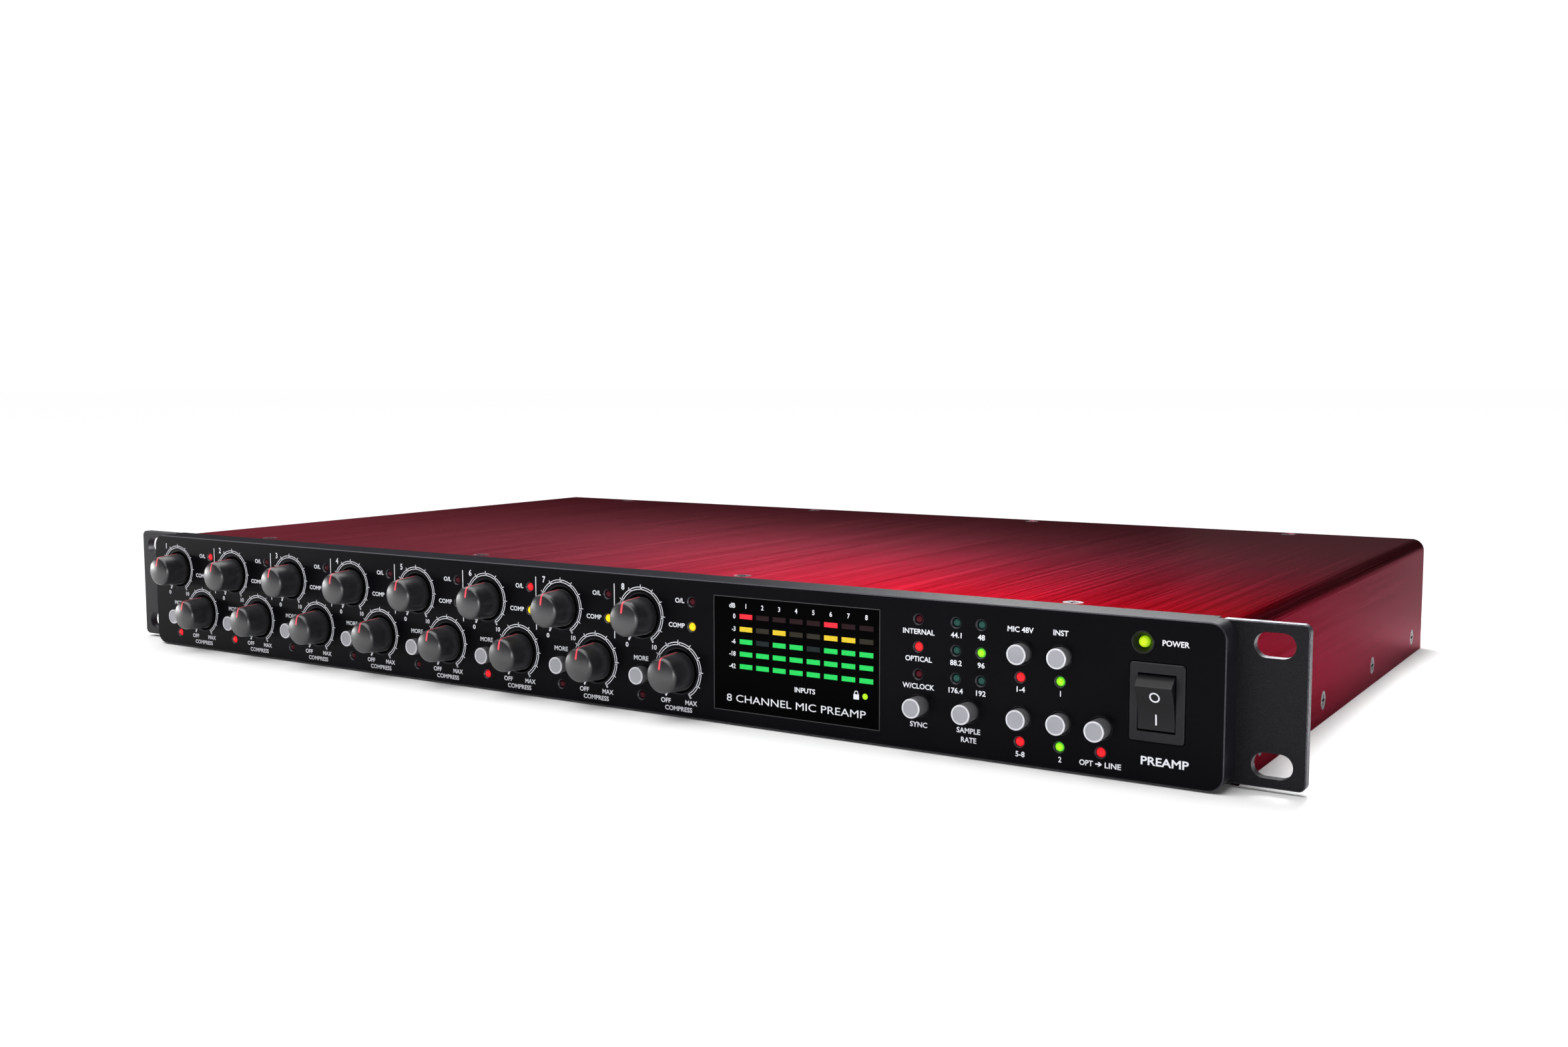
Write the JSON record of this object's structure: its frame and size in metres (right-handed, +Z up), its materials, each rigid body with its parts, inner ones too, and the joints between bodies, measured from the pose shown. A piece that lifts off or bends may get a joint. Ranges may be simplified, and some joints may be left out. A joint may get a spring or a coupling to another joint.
{
  "type": "microphone preamp",
  "caption": "Rack-mount microphone preamp: black front with rows of knobs, push buttons, lights and a bar meter, brushed red metal case.",
  "frame": {"origin": "centre of the bounding box at its base", "axes": "+X right seen from the front, +Y to the back, +Z up"},
  "size_m": [0.4826, 0.2854, 0.045],
  "materials": {
    "bezel_black": "satin black",
    "ear_powder": "fine textured powder coat",
    "cover_red": "brushed and anodised red, grain front to back",
    "screw_steel": "bright plated",
    "tray_black": "matte black",
    "knob_rubber": "soft touch dark grey",
    "button_silver": "satin silver",
    "window_smoke": "gloss smoked",
    "light_clear": "diffuse clear",
    "plastic_black": "fine matte",
    "board_green": "solder mask",
    "component_dark": "moulded",
    "contact_nickel": "nickel plated",
    "switch_body": "moulded",
    "cable_grey": "insulated"
  },
  "bodies": {
    "chassis": {"front_bezel": "bezel_black", "ear_plate": "ear_powder", "top_cover": "cover_red", "cover_screws": "screw_steel", "base_tray": "tray_black", "rear_panel": "tray_black", "meter_window": "window_smoke", "meter_bars": "light_clear", "meter_housing": "plastic_black", "indicator_lights": "light_clear", "power_light_bush": "plastic_black", "rocker_frame": "plastic_black", "potentiometers": "contact_nickel", "button_switches": "switch_body", "front_board": "board_green", "main_board": "board_green", "supply_board": "board_green", "board_components": "component_dark", "standoffs": "contact_nickel", "wiring": "cable_grey", "mains_inlet": "plastic_black", "combo_sockets": "plastic_black", "line_jacks": "plastic_black", "optical_ports": "plastic_black", "clock_sockets": "contact_nickel", "rear_screws": "screw_steel"},
    "gain_knob_1": {"gain_knob_1": "knob_rubber"},
    "gain_knob_2": {"gain_knob_2": "knob_rubber"},
    "gain_knob_3": {"gain_knob_3": "knob_rubber"},
    "gain_knob_4": {"gain_knob_4": "knob_rubber"},
    "gain_knob_5": {"gain_knob_5": "knob_rubber"},
    "gain_knob_6": {"gain_knob_6": "knob_rubber"},
    "gain_knob_7": {"gain_knob_7": "knob_rubber"},
    "gain_knob_8": {"gain_knob_8": "knob_rubber"},
    "comp_knob_1": {"comp_knob_1": "knob_rubber"},
    "comp_knob_2": {"comp_knob_2": "knob_rubber"},
    "comp_knob_3": {"comp_knob_3": "knob_rubber"},
    "comp_knob_4": {"comp_knob_4": "knob_rubber"},
    "comp_knob_5": {"comp_knob_5": "knob_rubber"},
    "comp_knob_6": {"comp_knob_6": "knob_rubber"},
    "comp_knob_7": {"comp_knob_7": "knob_rubber"},
    "comp_knob_8": {"comp_knob_8": "knob_rubber"},
    "more_button_1": {"more_button_1": "button_silver"},
    "more_button_2": {"more_button_2": "button_silver"},
    "more_button_3": {"more_button_3": "button_silver"},
    "more_button_4": {"more_button_4": "button_silver"},
    "more_button_5": {"more_button_5": "button_silver"},
    "more_button_6": {"more_button_6": "button_silver"},
    "more_button_7": {"more_button_7": "button_silver"},
    "more_button_8": {"more_button_8": "button_silver"},
    "sync_button": {"sync_button": "button_silver"},
    "rate_button": {"rate_button": "button_silver"},
    "mic_power_button_a": {"mic_power_button_a": "button_silver"},
    "mic_power_button_b": {"mic_power_button_b": "button_silver"},
    "inst_button_1": {"inst_button_1": "button_silver"},
    "inst_button_2": {"inst_button_2": "button_silver"},
    "line_button": {"line_button": "button_silver"},
    "power_rocker": {"power_rocker": "plastic_black"}
  },
  "joints": [
    {"name": "gain_knob_1_turn", "type": "hinge", "parent": "chassis", "child": "gain_knob_1", "pos_m": [-0.2049, -0.138, 0.03172], "axis": [0, 1, 0], "range_deg": [-150, 150]},
    {"name": "gain_knob_2_turn", "type": "hinge", "parent": "chassis", "child": "gain_knob_2", "pos_m": [-0.17093, -0.138, 0.03172], "axis": [0, 1, 0], "range_deg": [-150, 150]},
    {"name": "gain_knob_3_turn", "type": "hinge", "parent": "chassis", "child": "gain_knob_3", "pos_m": [-0.13696, -0.138, 0.03172], "axis": [0, 1, 0], "range_deg": [-150, 150]},
    {"name": "gain_knob_4_turn", "type": "hinge", "parent": "chassis", "child": "gain_knob_4", "pos_m": [-0.10299, -0.138, 0.03172], "axis": [0, 1, 0], "range_deg": [-150, 150]},
    {"name": "gain_knob_5_turn", "type": "hinge", "parent": "chassis", "child": "gain_knob_5", "pos_m": [-0.06902, -0.138, 0.03172], "axis": [0, 1, 0], "range_deg": [-150, 150]},
    {"name": "gain_knob_6_turn", "type": "hinge", "parent": "chassis", "child": "gain_knob_6", "pos_m": [-0.03505, -0.138, 0.03172], "axis": [0, 1, 0], "range_deg": [-150, 150]},
    {"name": "gain_knob_7_turn", "type": "hinge", "parent": "chassis", "child": "gain_knob_7", "pos_m": [-0.00108, -0.138, 0.03172], "axis": [0, 1, 0], "range_deg": [-150, 150]},
    {"name": "gain_knob_8_turn", "type": "hinge", "parent": "chassis", "child": "gain_knob_8", "pos_m": [0.03289, -0.138, 0.03172], "axis": [0, 1, 0], "range_deg": [-150, 150]},
    {"name": "comp_knob_1_turn", "type": "hinge", "parent": "chassis", "child": "comp_knob_1", "pos_m": [-0.19, -0.138, 0.01502], "axis": [0, 1, 0], "range_deg": [-150, 150]},
    {"name": "comp_knob_2_turn", "type": "hinge", "parent": "chassis", "child": "comp_knob_2", "pos_m": [-0.15603, -0.138, 0.01502], "axis": [0, 1, 0], "range_deg": [-150, 150]},
    {"name": "comp_knob_3_turn", "type": "hinge", "parent": "chassis", "child": "comp_knob_3", "pos_m": [-0.12206, -0.138, 0.01502], "axis": [0, 1, 0], "range_deg": [-150, 150]},
    {"name": "comp_knob_4_turn", "type": "hinge", "parent": "chassis", "child": "comp_knob_4", "pos_m": [-0.08809, -0.138, 0.01502], "axis": [0, 1, 0], "range_deg": [-150, 150]},
    {"name": "comp_knob_5_turn", "type": "hinge", "parent": "chassis", "child": "comp_knob_5", "pos_m": [-0.05412, -0.138, 0.01502], "axis": [0, 1, 0], "range_deg": [-150, 150]},
    {"name": "comp_knob_6_turn", "type": "hinge", "parent": "chassis", "child": "comp_knob_6", "pos_m": [-0.02015, -0.138, 0.01502], "axis": [0, 1, 0], "range_deg": [-150, 150]},
    {"name": "comp_knob_7_turn", "type": "hinge", "parent": "chassis", "child": "comp_knob_7", "pos_m": [0.01382, -0.138, 0.01502], "axis": [0, 1, 0], "range_deg": [-150, 150]},
    {"name": "comp_knob_8_turn", "type": "hinge", "parent": "chassis", "child": "comp_knob_8", "pos_m": [0.04779, -0.138, 0.01502], "axis": [0, 1, 0], "range_deg": [-150, 150]},
    {"name": "more_button_1_push", "type": "slide", "parent": "chassis", "child": "more_button_1", "axis": [0, 1, 0], "range_m": [0, 0.0015], "stiffness_N_per_m": 400, "springref_m": -0.0005},
    {"name": "more_button_2_push", "type": "slide", "parent": "chassis", "child": "more_button_2", "axis": [0, 1, 0], "range_m": [0, 0.0015], "stiffness_N_per_m": 400, "springref_m": -0.0005},
    {"name": "more_button_3_push", "type": "slide", "parent": "chassis", "child": "more_button_3", "axis": [0, 1, 0], "range_m": [0, 0.0015], "stiffness_N_per_m": 400, "springref_m": -0.0005},
    {"name": "more_button_4_push", "type": "slide", "parent": "chassis", "child": "more_button_4", "axis": [0, 1, 0], "range_m": [0, 0.0015], "stiffness_N_per_m": 400, "springref_m": -0.0005},
    {"name": "more_button_5_push", "type": "slide", "parent": "chassis", "child": "more_button_5", "axis": [0, 1, 0], "range_m": [0, 0.0015], "stiffness_N_per_m": 400, "springref_m": -0.0005},
    {"name": "more_button_6_push", "type": "slide", "parent": "chassis", "child": "more_button_6", "axis": [0, 1, 0], "range_m": [0, 0.0015], "stiffness_N_per_m": 400, "springref_m": -0.0005},
    {"name": "more_button_7_push", "type": "slide", "parent": "chassis", "child": "more_button_7", "axis": [0, 1, 0], "range_m": [0, 0.0015], "stiffness_N_per_m": 400, "springref_m": -0.0005},
    {"name": "more_button_8_push", "type": "slide", "parent": "chassis", "child": "more_button_8", "axis": [0, 1, 0], "range_m": [0, 0.0015], "stiffness_N_per_m": 400, "springref_m": -0.0005},
    {"name": "sync_button_push", "type": "slide", "parent": "chassis", "child": "sync_button", "axis": [0, 1, 0], "range_m": [0, 0.0015], "stiffness_N_per_m": 400, "springref_m": -0.0005},
    {"name": "rate_button_push", "type": "slide", "parent": "chassis", "child": "rate_button", "axis": [0, 1, 0], "range_m": [0, 0.0015], "stiffness_N_per_m": 400, "springref_m": -0.0005},
    {"name": "mic_power_button_a_push", "type": "slide", "parent": "chassis", "child": "mic_power_button_a", "axis": [0, 1, 0], "range_m": [0, 0.0015], "stiffness_N_per_m": 400, "springref_m": -0.0005},
    {"name": "mic_power_button_b_push", "type": "slide", "parent": "chassis", "child": "mic_power_button_b", "axis": [0, 1, 0], "range_m": [0, 0.0015], "stiffness_N_per_m": 400, "springref_m": -0.0005},
    {"name": "inst_button_1_push", "type": "slide", "parent": "chassis", "child": "inst_button_1", "axis": [0, 1, 0], "range_m": [0, 0.0015], "stiffness_N_per_m": 400, "springref_m": -0.0005},
    {"name": "inst_button_2_push", "type": "slide", "parent": "chassis", "child": "inst_button_2", "axis": [0, 1, 0], "range_m": [0, 0.0015], "stiffness_N_per_m": 400, "springref_m": -0.0005},
    {"name": "line_button_push", "type": "slide", "parent": "chassis", "child": "line_button", "axis": [0, 1, 0], "range_m": [0, 0.0015], "stiffness_N_per_m": 400, "springref_m": -0.0005},
    {"name": "power_rocker_tip", "type": "hinge", "parent": "chassis", "child": "power_rocker", "pos_m": [0.2048, -0.1295, 0.0224], "axis": [-1, 0, 0], "range_deg": [0, 24]}
  ]
}
